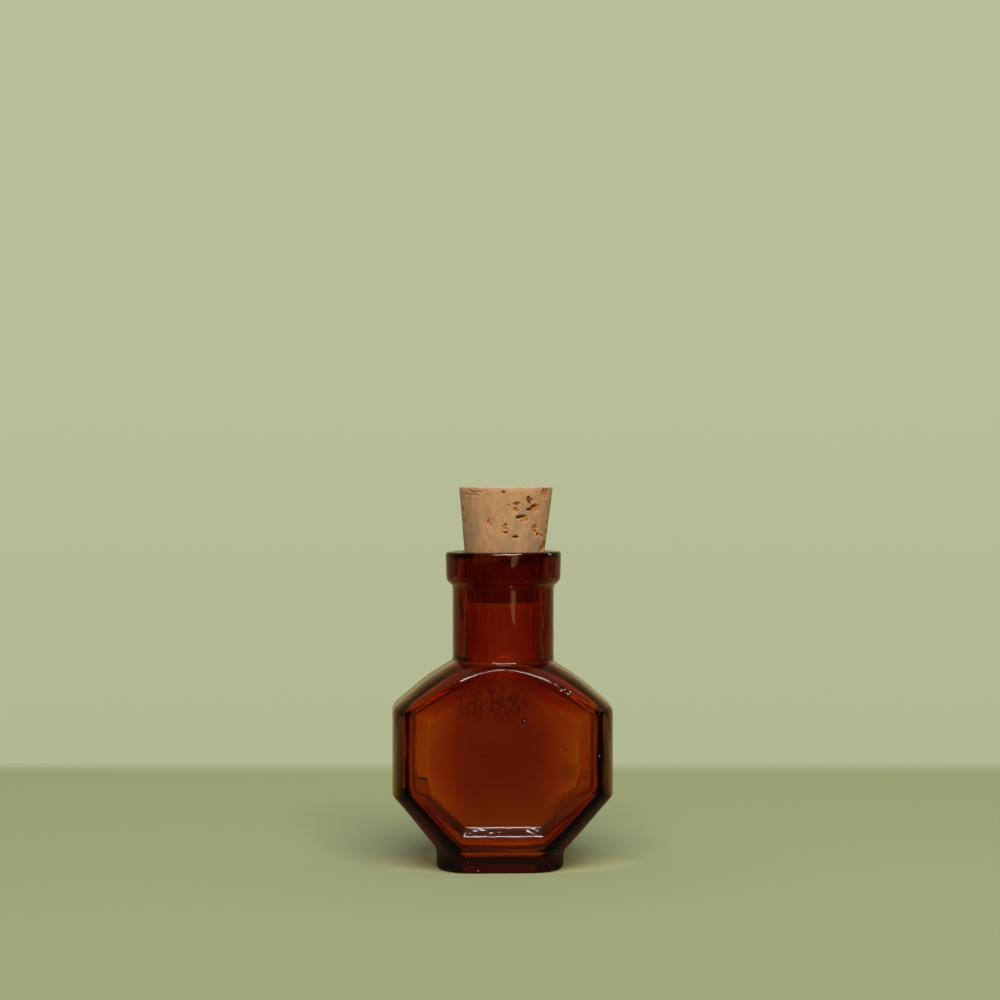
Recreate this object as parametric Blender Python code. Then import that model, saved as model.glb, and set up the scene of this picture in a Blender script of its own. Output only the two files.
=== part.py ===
"""A small amber glass bottle with a tapered cork stopper.

The bottle is one piece of moulded glass: a flat, many-sided body with a sunk
panel front and back, a round neck with a thick lip, and a low foot that is
hollowed underneath. The cork is a tapered plug. It is pressed into the neck
and pulls straight up.

Lengths are in metres and +Z is up. The front panel faces -Y, and the origin is
the middle of the foot's underside.
"""

import math

import bmesh
import bpy
import numpy as np

MM = 0.001

# The foot
FOOT_WIDTH = 25.8 * MM
FOOT_DEPTH = 21.6 * MM
FOOT_HEIGHT = 3.9 * MM
FOOT_CORNER_RADIUS = 7.2 * MM
FOOT_EDGE_ROUNDING = 0.9 * MM
BEARING_RING_WIDTH = 2.8 * MM
PUSH_UP_DEPTH = 1.1 * MM
PUSH_UP_CORNER_RADIUS = 3.5 * MM
PUSH_UP_ROUNDING = 3.0 * MM

# The body's widest outline, which is the mould's parting line. Its heights stack
# on the foot, and each shoulder has a break, at shares of its run and of its rise.
BODY_WIDTH = 45.0 * MM
BODY_DEPTH = 27.0 * MM
LOWER_SLOPE_HEIGHT = 11.1 * MM
SIDE_HEIGHT = 17.7 * MM
SHOULDER_HEIGHT = 9.5 * MM
SHOULDER_TUCK = 0.75 * MM
SHOULDER_RUN_SHARE = 0.504
SHOULDER_RISE_SHARE = 0.579

# The neck and the lip. The neck's height is that above the shoulders, lip included.
NECK_DIAMETER = 20.7 * MM
NECK_HEIGHT = 21.8 * MM
NECK_ROOT_FILLET = 0.8 * MM
LIP_DIAMETER = 23.6 * MM
LIP_HEIGHT = 5.1 * MM
LIP_DRAFT = 0.2 * MM
LIP_TOP_ROUNDING = 0.8 * MM
LIP_UNDERSIDE_HEIGHT = 1.6 * MM
LIP_BLEND_HEIGHT = 3.2 * MM
LIP_BLEND_WIDTH = 0.25 * MM

# The cork and the way it sits
CORK_LENGTH = 23.6 * MM
CORK_TOP_DIAMETER = 18.9 * MM
CORK_BOTTOM_DIAMETER = 14.3 * MM
CORK_TOP_CHAMFER = 0.45 * MM
CORK_BOTTOM_CHAMFER = 0.7 * MM
CORK_SEAT_DEPTH = 10.2 * MM
CORK_GAP = 0.3 * MM
MOUTH_ROUNDING = 0.6 * MM

# Each border lies inside the one around it by these widths, given along its
# edges from the foot up: sill, lower slope, side and two shoulder edges. A pair
# is the width at the edge's lower end and at its upper end. The flat top of a
# border is this share of the width of the flat top around it.
FACE_INSETS = (1.8 * MM, 3.3 * MM, 2.95 * MM, (2.4 * MM, 3.0 * MM), (3.0 * MM, 3.1 * MM))
RIM_INSETS = (3.0 * MM, (3.2 * MM, 1.4 * MM), 1.1 * MM, 0.45 * MM, 0.45 * MM)
FLOOR_INSETS = (1.85 * MM, 1.65 * MM, 3.65 * MM, (2.7 * MM, 4.2 * MM), (4.0 * MM, 5.0 * MM))
FACE_TOP_SHARE = 0.6
RIM_TOP_SHARE = 0.85
FLOOR_TOP_SHARE = 0.2

# Radii of each border's corners, from the foot up
GIRTH_RADII = (0.8 * MM, 1.4 * MM, 2.2 * MM, 26.0 * MM, 3.0 * MM)
FACE_RADII = (0.8 * MM, 1.2 * MM, 1.4 * MM, 26.0 * MM, 14.0 * MM)
RIM_RADII = (0.6 * MM, 1.0 * MM, 1.2 * MM, 26.0 * MM, 14.0 * MM)
FLOOR_RADII = (0.4 * MM, 0.8 * MM, 1.2 * MM, 12.0 * MM, 1.0 * MM)

# The sunk panels and the edges round them
PANEL_DEPTH = 1.4 * MM
RIM_SOFTNESS = 0.35 * MM
FACE_SOFTNESS = 0.6 * MM
FLANK_BULGE_SHARE = 0.55

# The hollow inside
BORE_DIAMETER = 15.8 * MM
SIDE_WALL = 2.6 * MM
PANEL_WALL = 2.8 * MM
BASE_THICKNESS = 5.2 * MM
HOLLOW_RADII = (3.0 * MM, 4.0 * MM, 4.5 * MM, 12.0 * MM, 2.5 * MM)
HOLLOW_FLANK_INSET = 2.2 * MM
HOLLOW_EDGE_SOFTNESS = 4.6 * MM
HOLLOW_TOP_SHARE = 0.95

# How far shapes that are joined reach into each other, and cutters past a face
LAP = 1.0 * MM
BORE_LAP = 3.6 * MM
OVERRUN = 1.0 * MM

# Facets. The first are those along each straight edge of an outline, from the foot up.
STRAIGHT_STEPS = (3, 3, 3, 1, 1, 3)
CORNER_STEPS = 4
EDGE_STEPS = 3
FLANK_STEPS = 4
ROUND_STEPS = 5
CIRCLE_SEGMENTS = 64
SMOOTH_ANGLE = math.radians(24)
FILLET_LIMIT_SHARE = 0.48


def clear_scene():
    for old in list(bpy.data.objects):
        bpy.data.objects.remove(old)


# Outlines: a half outline is a list of corners (x, z) from the foot up


def girth_corners():
    """The widest outline. It runs a little way down into the foot."""
    lean = (BODY_WIDTH - FOOT_WIDTH) / 2 / LOWER_SLOPE_HEIGHT
    side = BODY_WIDTH / 2
    lower_corner = FOOT_HEIGHT + LOWER_SLOPE_HEIGHT
    upper_corner = lower_corner + SIDE_HEIGHT
    run = side - (NECK_DIAMETER / 2 - SHOULDER_TUCK)
    return [
        (FOOT_WIDTH / 2 - LAP * lean, FOOT_HEIGHT - LAP),
        (side, lower_corner),
        (side, upper_corner),
        (side - run * SHOULDER_RUN_SHARE, upper_corner + SHOULDER_HEIGHT * SHOULDER_RISE_SHARE),
        (side - run, upper_corner + SHOULDER_HEIGHT),
    ]


def bottle_height():
    return girth_corners()[-1][1] + NECK_HEIGHT


def inset_corners(corners, widths, top_share):
    """The corners of an outline drawn inside another, one width for each edge."""
    points = [np.array(corner) for corner in corners]
    sill = np.array((0.0, points[0][1]))
    chain = [sill] + points
    lines = []
    for start, end, width in zip(chain, chain[1:], widths):
        at_start, at_end = width if isinstance(width, tuple) else (width, width)
        along = (end - start) / np.linalg.norm(end - start)
        inward = np.array((-along[1], along[0]))
        lines.append((start + inward * at_start, end + inward * at_end))
    top_end = points[-1] * np.array((top_share, 1.0))
    lines.append((top_end, top_end + (points[-1] - sill) * np.array((0.0, 1.0))))
    return [tuple(crossing(first, second)) for first, second in zip(lines, lines[1:])]


def crossing(first, second):
    """Where two lines meet, each given by two points."""
    (a, b), (c, d) = first, second
    share, _ = np.linalg.solve(np.array((b - a, c - d)).T, c - a)
    return a + (b - a) * share


def fillet(before, corner, after, radius):
    """Points of the arc that rounds one corner, limited by the edges beside it."""
    to_before = (before - corner) / np.linalg.norm(before - corner)
    to_after = (after - corner) / np.linalg.norm(after - corner)
    half_angle = math.acos(np.clip(to_before @ to_after, -1, 1)) / 2
    room = min(np.linalg.norm(before - corner), np.linalg.norm(after - corner))
    reach = min(radius / math.tan(half_angle), room * FILLET_LIMIT_SHARE)
    radius = reach * math.tan(half_angle)
    middle = (to_before + to_after) / np.linalg.norm(to_before + to_after)
    centre = corner + middle * radius / math.sin(half_angle)
    start = corner + to_before * reach - centre
    sweep = math.pi - 2 * half_angle
    turn = sweep if np.cross(to_before, to_after) < 0 else -sweep
    points = []
    for step in range(CORNER_STEPS + 1):
        angle = turn * step / CORNER_STEPS
        spin = np.array(((math.cos(angle), -math.sin(angle)), (math.sin(angle), math.cos(angle))))
        points.append(centre + spin @ start)
    return points


def outline_loop(corners, radii, y):
    """The whole outline as a closed loop of 3-D points at depth y."""
    points = [np.array(corner) for corner in corners]
    mirror = np.array((-1.0, 1.0))
    chain = [points[0] * mirror] + points + [points[-1] * mirror]
    arcs = [
        fillet(before, corner, after, radius)
        for before, corner, after, radius in zip(chain, chain[1:], chain[2:], radii)
    ]
    arcs += [[point * mirror for point in reversed(arc)] for arc in reversed(arcs)]
    steps = STRAIGHT_STEPS[1:] + STRAIGHT_STEPS[-2::-1]
    loop = []
    for arc, following, count in zip(arcs, arcs[1:] + arcs[:1], steps):
        shares = [step / count for step in range(1, count)]
        loop += arc + [arc[-1] + (following[0] - arc[-1]) * share for share in shares]
    return np.array([(x, y, z) for x, z in loop])


# Loops of 3-D points, and the skins drawn over them


def toward(loop, other, reach):
    """A loop moved towards another by a length, at most half the way."""
    way = other - loop
    distance = np.linalg.norm(way, axis=1, keepdims=True)
    return loop + way * np.minimum(0.5, reach / np.maximum(distance, reach))


def curve_loops(start, control, end, steps):
    """Loops along the quadratic curve from start to end, both included."""
    shares = [step / steps for step in range(steps + 1)]
    return [(1 - t) ** 2 * start + 2 * t * (1 - t) * control + t**2 * end for t in shares]


def rounded_edge(before, edge, after, reach, steps):
    """Loops that round the edge between two surfaces that meet in it."""
    return curve_loops(toward(edge, before, reach), edge, toward(edge, after, reach), steps)


def mirrored(loops):
    """The same loops on the other side of the plane y = 0, in reverse order."""
    return [loop * np.array((1.0, -1.0, 1.0)) for loop in reversed(loops)]


def circle_loop(radius, z):
    angles = [2 * math.pi * i / CIRCLE_SEGMENTS for i in range(CIRCLE_SEGMENTS)]
    return np.array([(radius * math.cos(a), radius * math.sin(a), z) for a in angles])


def turned_loops(profile):
    """Circles for a turned shape, from its profile of (radius, z) points."""
    return [circle_loop(radius, z) for radius, z in profile]


def rounded_rectangle_loop(width, depth, radius, z):
    """A rectangle with round corners, at height z."""
    steps = 2 * CORNER_STEPS
    points = []
    for quarter, (side_x, side_y) in enumerate(((1, 1), (-1, 1), (-1, -1), (1, -1))):
        centre_x = side_x * (width / 2 - radius)
        centre_y = side_y * (depth / 2 - radius)
        for step in range(steps + 1):
            angle = (quarter + step / steps) * math.pi / 2
            points.append(
                (centre_x + radius * math.cos(angle), centre_y + radius * math.sin(angle), z)
            )
    return np.array(points)


def skin(name, loops, origin=(0.0, 0.0, 0.0)):
    """A closed solid through the loops, with its two end loops filled."""
    shape = bmesh.new()
    rings = [[shape.verts.new(point) for point in loop] for loop in loops]
    for ring, following in zip(rings, rings[1:]):
        for i, vert in enumerate(ring):
            j = (i + 1) % len(ring)
            shape.faces.new((vert, ring[j], following[j], following[i]))
    shape.faces.new(reversed(rings[0]))
    shape.faces.new(rings[-1])
    bmesh.ops.recalc_face_normals(shape, faces=shape.faces)
    mesh = bpy.data.meshes.new(name)
    shape.to_mesh(mesh)
    shape.free()
    mesh.shade_smooth()
    mesh.set_sharp_from_angle(angle=SMOOTH_ANGLE)
    solid = bpy.data.objects.new(name, mesh)
    solid.location = origin
    bpy.context.scene.collection.objects.link(solid)
    return solid


def as_helper(solid):
    """Marks a solid that only joins or cuts another."""
    solid.hide_render = True
    solid.display_type = "WIRE"
    return solid


def combine(solid, helper, operation):
    boolean = solid.modifiers.new(helper.name, "BOOLEAN")
    boolean.operation = operation
    boolean.object = as_helper(helper)
    boolean.solver = "EXACT"


# The glass


def body_solid():
    """The moulded body: sunk floor, rim, flat border and bulging flank, both ways."""
    front = -BODY_DEPTH / 2
    girth = girth_corners()
    face = inset_corners(girth, FACE_INSETS, FACE_TOP_SHARE)
    rim = inset_corners(face, RIM_INSETS, RIM_TOP_SHARE)
    floor = inset_corners(rim, FLOOR_INSETS, FLOOR_TOP_SHARE)
    girth_loop = outline_loop(girth, GIRTH_RADII, 0.0)
    face_loop = outline_loop(face, FACE_RADII, front)
    rim_loop = outline_loop(rim, RIM_RADII, front)
    floor_loop = outline_loop(floor, FLOOR_RADII, front + PANEL_DEPTH)
    flank_control = outline_loop(girth, GIRTH_RADII, front * FLANK_BULGE_SHARE)
    rim_loops = rounded_edge(floor_loop, rim_loop, face_loop, RIM_SOFTNESS, EDGE_STEPS)
    face_loops = rounded_edge(rim_loop, face_loop, flank_control, FACE_SOFTNESS, EDGE_STEPS)
    flank_loops = curve_loops(face_loops[-1], flank_control, girth_loop, FLANK_STEPS)
    half = [floor_loop] + rim_loops + face_loops + flank_loops[1:-1]
    return skin("glass_bottle", half + [girth_loop] + mirrored(half))


def foot_solid():
    """A low block with round corners and a round lower edge."""
    width, depth, radius = FOOT_WIDTH, FOOT_DEPTH, FOOT_CORNER_RADIUS
    rounding = FOOT_EDGE_ROUNDING
    loops = []
    for step in range(ROUND_STEPS + 1):
        angle = math.pi / 2 * step / ROUND_STEPS
        inset = rounding * (1 - math.sin(angle))
        height = rounding * (1 - math.cos(angle))
        loops.append(
            rounded_rectangle_loop(width - 2 * inset, depth - 2 * inset, radius - inset, height)
        )
    loops.append(rounded_rectangle_loop(width, depth, radius, FOOT_HEIGHT + LAP))
    return skin("foot_block", loops)


def push_up_solid():
    """Cuts the hollow under the foot, and leaves the ring that it stands on."""
    inset = FOOT_EDGE_ROUNDING + BEARING_RING_WIDTH
    width, depth, radius = FOOT_WIDTH - 2 * inset, FOOT_DEPTH - 2 * inset, PUSH_UP_CORNER_RADIUS
    mouth = rounded_rectangle_loop(width, depth, radius, -OVERRUN)
    edge = rounded_rectangle_loop(width, depth, radius, 0.0)
    crest = rounded_rectangle_loop(width, depth, radius, PUSH_UP_DEPTH)
    centre = crest * np.array((0.0, 0.0, 1.0))
    ceiling = toward(crest, centre, PUSH_UP_ROUNDING)
    return skin("push_up_cutter", [mouth] + curve_loops(edge, crest, ceiling, ROUND_STEPS))


def quarter(start, end, starts_upright):
    """Points of a quarter ellipse in a profile, without its first point."""
    (r0, z0), (r1, z1) = start, end
    points = []
    for step in range(1, ROUND_STEPS + 1):
        angle = math.pi / 2 * step / ROUND_STEPS
        near, far = 1 - math.cos(angle), math.sin(angle)
        across, up = (near, far) if starts_upright else (far, near)
        points.append((r0 + (r1 - r0) * across, z0 + (z1 - z0) * up))
    return points


def neck_solid():
    """The outside of the neck and the lip. Its lower end is inside the body."""
    neck = NECK_DIAMETER / 2
    lip = LIP_DIAMETER / 2
    height = bottle_height()
    (break_x, break_z), (top_x, top_z) = girth_corners()[-2:]
    fall = (top_z - break_z) / (break_x - top_x) * (SHOULDER_TUCK + NECK_ROOT_FILLET)
    root = (neck + NECK_ROOT_FILLET, top_z - fall)
    root_top = (neck, root[1] + NECK_ROOT_FILLET)
    lip_low = (lip - LIP_DRAFT, height - LIP_HEIGHT)
    joint = (neck + LIP_BLEND_WIDTH, lip_low[1] - LIP_UNDERSIDE_HEIGHT)
    blend = (neck, joint[1] - LIP_BLEND_HEIGHT)
    lip_high = (lip, height - LIP_TOP_ROUNDING)
    land = (lip - LIP_TOP_ROUNDING, height)
    profile = [(root[0], break_z), root]
    profile += quarter(root, root_top, starts_upright=False)
    profile += [blend] + quarter(blend, joint, starts_upright=True)
    profile += quarter(joint, lip_low, starts_upright=False)
    profile += [lip_high] + quarter(lip_high, land, starts_upright=True)
    return skin("neck_blank", turned_loops(profile))


def hollow_solid():
    """The space inside the body, with its walls measured from the outside."""
    front = -(BODY_DEPTH / 2 - PANEL_DEPTH - PANEL_WALL)
    base = BASE_THICKNESS - (FOOT_HEIGHT - LAP)
    walls = (base, SIDE_WALL, SIDE_WALL, SIDE_WALL, SIDE_WALL)
    girth = inset_corners(girth_corners(), walls, HOLLOW_TOP_SHARE)
    face = inset_corners(girth, (HOLLOW_FLANK_INSET,) * len(walls), HOLLOW_TOP_SHARE)
    girth_loop = outline_loop(girth, HOLLOW_RADII, 0.0)
    face_loop = outline_loop(face, HOLLOW_RADII, front)
    control = outline_loop(girth, HOLLOW_RADII, front * FLANK_BULGE_SHARE)
    middle = np.full_like(face_loop, face_loop.mean(axis=0))
    edge = rounded_edge(middle, face_loop, control, HOLLOW_EDGE_SOFTNESS, ROUND_STEPS)
    flank = curve_loops(edge[-1], control, girth_loop, FLANK_STEPS)
    half = edge + flank[1:-1]
    return skin("hollow_cutter", half + [girth_loop] + mirrored(half))


def cork_radius(depth):
    """The cork's radius at a depth below the lip, when it is seated."""
    top, bottom = CORK_TOP_DIAMETER / 2, CORK_BOTTOM_DIAMETER / 2
    return bottom + (top - bottom) * (CORK_SEAT_DEPTH - depth) / CORK_LENGTH


def bore_solid():
    """The straight way through the neck, which opens into the hollow."""
    radius = BORE_DIAMETER / 2
    bottom = girth_corners()[-1][1] - SIDE_WALL - BORE_LAP
    top = bottle_height() + OVERRUN
    return skin("bore_cutter", turned_loops([(radius, bottom), (radius, top)]))


def seat_solid():
    """The tapered seat reamed for the cork, with the round edge of the mouth."""
    height = bottle_height()
    bottom = (cork_radius(CORK_SEAT_DEPTH) + CORK_GAP, height - CORK_SEAT_DEPTH - CORK_GAP)
    edge = (cork_radius(MOUTH_ROUNDING) + CORK_GAP, height - MOUTH_ROUNDING)
    mouth = (edge[0] + MOUTH_ROUNDING, height)
    profile = [bottom, edge] + quarter(edge, mouth, starts_upright=True)
    profile.append((mouth[0], height + OVERRUN))
    return skin("seat_cutter", turned_loops(profile))


def make_bottle():
    bottle = body_solid()
    combine(bottle, neck_solid(), "UNION")
    combine(bottle, foot_solid(), "UNION")
    combine(bottle, push_up_solid(), "DIFFERENCE")
    combine(bottle, hollow_solid(), "DIFFERENCE")
    combine(bottle, bore_solid(), "DIFFERENCE")
    combine(bottle, seat_solid(), "DIFFERENCE")
    return bottle


# The cork


def make_cork():
    """A turned plug. Its origin is the middle of its lower end, on the neck's axis."""
    top, bottom = CORK_TOP_DIAMETER / 2, CORK_BOTTOM_DIAMETER / 2
    slope = (top - bottom) / CORK_LENGTH
    profile = [
        (bottom - CORK_BOTTOM_CHAMFER, 0.0),
        (bottom + slope * CORK_BOTTOM_CHAMFER, CORK_BOTTOM_CHAMFER),
        (top - slope * CORK_TOP_CHAMFER, CORK_LENGTH - CORK_TOP_CHAMFER),
        (top - CORK_TOP_CHAMFER, CORK_LENGTH),
    ]
    seat = (0.0, 0.0, bottle_height() - CORK_SEAT_DEPTH)
    return skin("cork_stopper", turned_loops(profile), seat)


# Materials


def principled(name, colour, roughness):
    material = bpy.data.materials.new(name)
    material.use_nodes = True
    shader = material.node_tree.nodes["Principled BSDF"]
    shader.inputs["Base Color"].default_value = colour
    shader.inputs["Roughness"].default_value = roughness
    shader.inputs["Metallic"].default_value = 0.0
    return material, shader


def amber_glass():
    material, shader = principled("amber_glass", (0.36, 0.07, 0.006, 1.0), 0.04)
    shader.inputs["Transmission Weight"].default_value = 1.0
    shader.inputs["IOR"].default_value = 1.52
    return material


def natural_cork():
    material, _ = principled("natural_cork", (0.42, 0.24, 0.12, 1.0), 0.85)
    return material


def main():
    clear_scene()
    bottle = make_bottle()
    cork = make_cork()
    bottle.data.materials.append(amber_glass())
    cork.data.materials.append(natural_cork())


main()
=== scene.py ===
"""Dresses the corked bottle: moulded amber glass, natural cork and a plain studio.

The glass and the cork are each drawn as a field, a function that is negative
inside the solid. A net of faces is laid over the field's zero surface, so that
every edge is as soft as real glass. Lengths are in metres, in the CAD's frame.
"""

import math

import bmesh
import bpy
import numpy as np
from mathutils import Matrix, Vector


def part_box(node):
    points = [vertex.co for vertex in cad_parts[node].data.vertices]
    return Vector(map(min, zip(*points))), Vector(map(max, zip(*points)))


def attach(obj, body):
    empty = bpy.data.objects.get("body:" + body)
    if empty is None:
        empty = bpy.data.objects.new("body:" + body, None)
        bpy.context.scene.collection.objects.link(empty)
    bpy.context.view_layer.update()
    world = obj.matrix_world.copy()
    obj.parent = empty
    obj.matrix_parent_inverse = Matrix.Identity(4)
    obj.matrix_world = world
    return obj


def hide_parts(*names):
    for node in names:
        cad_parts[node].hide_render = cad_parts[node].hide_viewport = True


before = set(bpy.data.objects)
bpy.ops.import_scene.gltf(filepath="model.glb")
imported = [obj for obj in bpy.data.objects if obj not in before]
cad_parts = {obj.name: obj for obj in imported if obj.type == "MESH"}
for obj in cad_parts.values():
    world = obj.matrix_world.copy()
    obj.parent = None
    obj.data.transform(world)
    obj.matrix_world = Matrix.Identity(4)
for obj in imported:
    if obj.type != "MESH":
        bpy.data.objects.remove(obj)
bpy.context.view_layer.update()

MM = 0.001
BOTTLE_LOW, BOTTLE_HIGH = (np.array(corner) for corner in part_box("glass_bottle"))
CORK_LOW, CORK_HIGH = (np.array(corner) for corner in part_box("cork_stopper"))

# The bottle's outside
BODY_WIDTH = BOTTLE_HIGH[0] - BOTTLE_LOW[0]
BODY_DEPTH = BOTTLE_HIGH[1] - BOTTLE_LOW[1]
BOTTLE_HEIGHT = BOTTLE_HIGH[2]
FOOT_WIDTH = 25.8 * MM
FOOT_DEPTH = 21.6 * MM
FOOT_HEIGHT = 3.9 * MM
FOOT_CORNER_RADIUS = 7.2 * MM
FOOT_EDGE_SOFTNESS = 1.1 * MM
FOOT_FILLET = 0.9 * MM
BEARING_RING_INSET = 3.7 * MM
PUSH_UP_DEPTH = 1.1 * MM
PUSH_UP_ROUNDING = 3.0 * MM
LOWER_SLOPE_HEIGHT = 11.1 * MM
SIDE_HEIGHT = 17.7 * MM
SHOULDER_HEIGHT = 9.5 * MM
SHOULDER_TUCK = 0.75 * MM
SHOULDER_RUN_SHARE = 0.504
SHOULDER_RISE_SHARE = 0.579
NECK_RADIUS = 10.35 * MM
NECK_FILLET = 0.45 * MM
LIP_RADIUS = 11.9 * MM
LIP_HEIGHT = 6.7 * MM
LIP_DRAFT_SHARE = 0.025
LIP_DISH_SHARE = 0.18
LIP_TOP_SOFTNESS = 1.0 * MM
LIP_UNDER_SOFTNESS = 2.0 * MM
LIP_BLEND = 0.8 * MM
BODY_LAP = 1.0 * MM

# Borders inside the body's widest outline, by edge from the foot up: sill, lower
# slope, side and two shoulder edges. A pair is the width at the edge's two ends.
FACE_INSETS = (1.8 * MM, (3.45 * MM, 2.75 * MM), 2.95 * MM, (2.4 * MM, 3.0 * MM), (3.0 * MM, 3.1 * MM))
RIM_INSETS = (3.0 * MM, (3.0 * MM, 1.45 * MM), 1.05 * MM, 0.45 * MM, 0.45 * MM)
FLOOR_INSETS = (1.85 * MM, 1.65 * MM, 3.65 * MM, (2.7 * MM, 4.2 * MM), (4.0 * MM, 5.0 * MM))
FACE_TOP_SHARE = 0.43
RIM_TOP_SHARE = 0.85
FLOOR_TOP_SHARE = 0.2
PANEL_DEPTH = 1.4 * MM
DRAW_POWER = 4

# The arch over the face: its top, how far it falls a millimetre off the middle and by
# which power, how round its tip is, then the rim's border and the panel's upper bevel
ARCH_TOP = 41.65 * MM
ARCH_FALL = 0.105 * MM
ARCH_POWER = 1.5
ARCH_TIP = 2.8 * MM
ARCH_RIM = 0.5 * MM
ARCH_BEVEL = 3.9 * MM
ARCH_SOFTNESS = 0.25 * MM
LEAST_BEVEL = 0.5 * MM

# How softly each edge of the body meets the next, from the foot up
GIRTH_SOFTNESS = (0.3 * MM, 0.35 * MM, 0.8 * MM, 0.3 * MM, 0.5 * MM)
FACE_CORNER_SOFTNESS = (0.3 * MM, 0.35 * MM, 0.5 * MM, 0.3 * MM, 6.2 * MM)
BEVEL_SOFTNESS = (0.08 * MM, 0.08 * MM, 0.15 * MM, 0.15 * MM, 0.2 * MM, 1.9 * MM)
FACE_SOFTNESS = 0.55 * MM
RIM_SOFTNESS = 0.22 * MM

# The hollow inside
BORE_RADIUS = 7.15 * MM
SIDE_WALL = 2.2 * MM
PANEL_WALL = 2.9 * MM
BASE_THICKNESS = 2.5 * MM
HOLLOW_TOP_SHARE = 0.95
HOLLOW_FACE_INSETS = (0.1 * MM, (1.1 * MM, 1.0 * MM), 0.85 * MM, 0.7 * MM, 0.9 * MM)
HOLLOW_FACE_DEPTH = 11.8 * MM
HOLLOW_ARCH_INSET = 0.2 * MM
HOLLOW_CORNER_SOFTNESS = 1.2 * MM
HOLLOW_DRAW_POWER = 2
HOLLOW_EDGE_SOFTNESS = (1.0 * MM, 1.5 * MM)
HOLLOW_SOFTER_FROM = (8.0 * MM, 16.0 * MM)
# The wall behind each panel is thickest in the middle, and the hollow swells round it:
# by how much, how far off the middle it is full, by which power across and down, and
# between which heights it starts over the floor
HOLLOW_SWELL = 2.0 * MM
HOLLOW_SWELL_HALF_WIDTH = 18.4 * MM
HOLLOW_SWELL_HALF_HEIGHT = 36.0 * MM
HOLLOW_SWELL_FOOT_REACH = 20.0 * MM
HOLLOW_SWELL_POWER = 3.6
HOLLOW_SWELL_START = (3.2 * MM, 5.2 * MM)
HOLLOW_MIDDLE_HEIGHT = 26.0 * MM
HOLLOW_RIPPLE = 0.09 * MM
# Upright ribs in the bore: how many round it, how high, and the phase of each set
BORE_RIBS = (
    (7, 0.03 * MM, 0.4),
    (13, 0.035 * MM, 2.1),
    (22, 0.028 * MM, 4.0),
    (35, 0.02 * MM, 1.3),
    (54, 0.01 * MM, 2.7),
)
HOLLOW_NECK_BLEND = 4.5 * MM
MOUTH_SOFTNESS = 1.0 * MM

# What the mould and the years left on the glass
SURFACE_RIPPLE = 0.014 * MM
SILL_RIPPLE = 0.015 * MM
# Ripples are lifted, so that they take glass away and hardly add any
SURFACE_LIFT = 2.0
SILL_LIFT = 1.5
# The rippled bevel over the panel's sill: where it is up, and how far it reaches from
# there up and down, and from the middle to the sides
SILL_BEVEL = (8.7 * MM, 1.3 * MM, 7.5 * MM)
# How far the bottle is out of line: the neck to the right, the foot to the left, up to
# where that has faded out, the lip up, and its left edge down again
NECK_DRIFT = 0.25 * MM
FOOT_DRIFT = 0.5 * MM
FOOT_DRIFT_HEIGHT = 15.0 * MM
LIP_RISE = 0.4 * MM
LIP_SLANT = 0.12 * MM
# The mould's seam up both flanks. Between two distances off the middle the flank sinks by
# the seam's height, so that the seam stays within the bottle's width.
SEAM_HEIGHT = 0.07 * MM
SEAM_HALF_WIDTH = 0.42 * MM
SEAM_TOP = 57.0 * MM
SEAM_SUNK_FROM = 14.0 * MM
SEAM_SUNK_AT = 20.0 * MM
# Chips out of the edges: place across, depth and height of each, then its radius
CHIPS = (
    (10.2 * MM, -13.6 * MM, 38.3 * MM, 0.7 * MM),
    (11.4 * MM, -13.9 * MM, 37.3 * MM, 0.9 * MM),
    (12.7 * MM, -13.7 * MM, 36.6 * MM, 0.6 * MM),
    (-18.0 * MM, -13.8 * MM, 33.6 * MM, 0.55 * MM),
    (18.3 * MM, -13.8 * MM, 32.6 * MM, 0.6 * MM),
    (19.0 * MM, -13.7 * MM, 24.0 * MM, 0.45 * MM),
    (-19.0 * MM, -13.7 * MM, 24.3 * MM, 0.4 * MM),
    (5.5 * MM, -9.8 * MM, 42.3 * MM, 0.6 * MM),
    (9.4 * MM, -7.6 * MM, 64.0 * MM, 0.7 * MM),
    (-7.2 * MM, -11.3 * MM, 2.2 * MM, 0.8 * MM),
    (-5.0 * MM, -11.2 * MM, 1.0 * MM, 0.7 * MM),
    (8.0 * MM, -11.2 * MM, 1.6 * MM, 0.8 * MM),
    (-20.9 * MM, 11.0 * MM, 14.8 * MM, 0.5 * MM),
    (6.0 * MM, 13.9 * MM, 40.0 * MM, 0.7 * MM),
    (-12.0 * MM, 13.8 * MM, 36.9 * MM, 0.6 * MM),
)
CHIP_ROUGHNESS = 0.05 * MM
# How many times its size a chip or a pore can reach with its rough edge
CHIP_REACH = 2
PORE_REACH = 1.3
# Air bubbles in the glass: place across, depth and height, then radius
BUBBLES = (
    (4.1 * MM, -11.3 * MM, 30.6 * MM, 0.56 * MM),
    (-3.7 * MM, -11.2 * MM, 23.6 * MM, 0.16 * MM),
    (12.3 * MM, -11.4 * MM, 25.0 * MM, 0.18 * MM),
    (-9.8 * MM, -11.3 * MM, 21.3 * MM, 0.1 * MM),
    (7.9 * MM, -11.2 * MM, 16.4 * MM, 0.1 * MM),
    (-6.0 * MM, 11.1 * MM, 29.0 * MM, 0.22 * MM),
    (9.0 * MM, 11.3 * MM, 19.0 * MM, 0.15 * MM),
    (-2.0 * MM, -9.2 * MM, 52.0 * MM, 0.12 * MM),
    (-14.0 * MM, 11.6 * MM, 22.0 * MM, 0.12 * MM),
    (21.2 * MM, 2.0 * MM, 24.0 * MM, 0.14 * MM),
    (-21.2 * MM, -3.0 * MM, 28.0 * MM, 0.12 * MM),
    (3.0 * MM, -6.0 * MM, 2.4 * MM, 0.3 * MM),
)
BUBBLE_STRETCH = 1.15
BUBBLE_SUBDIVISIONS = 3

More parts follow.
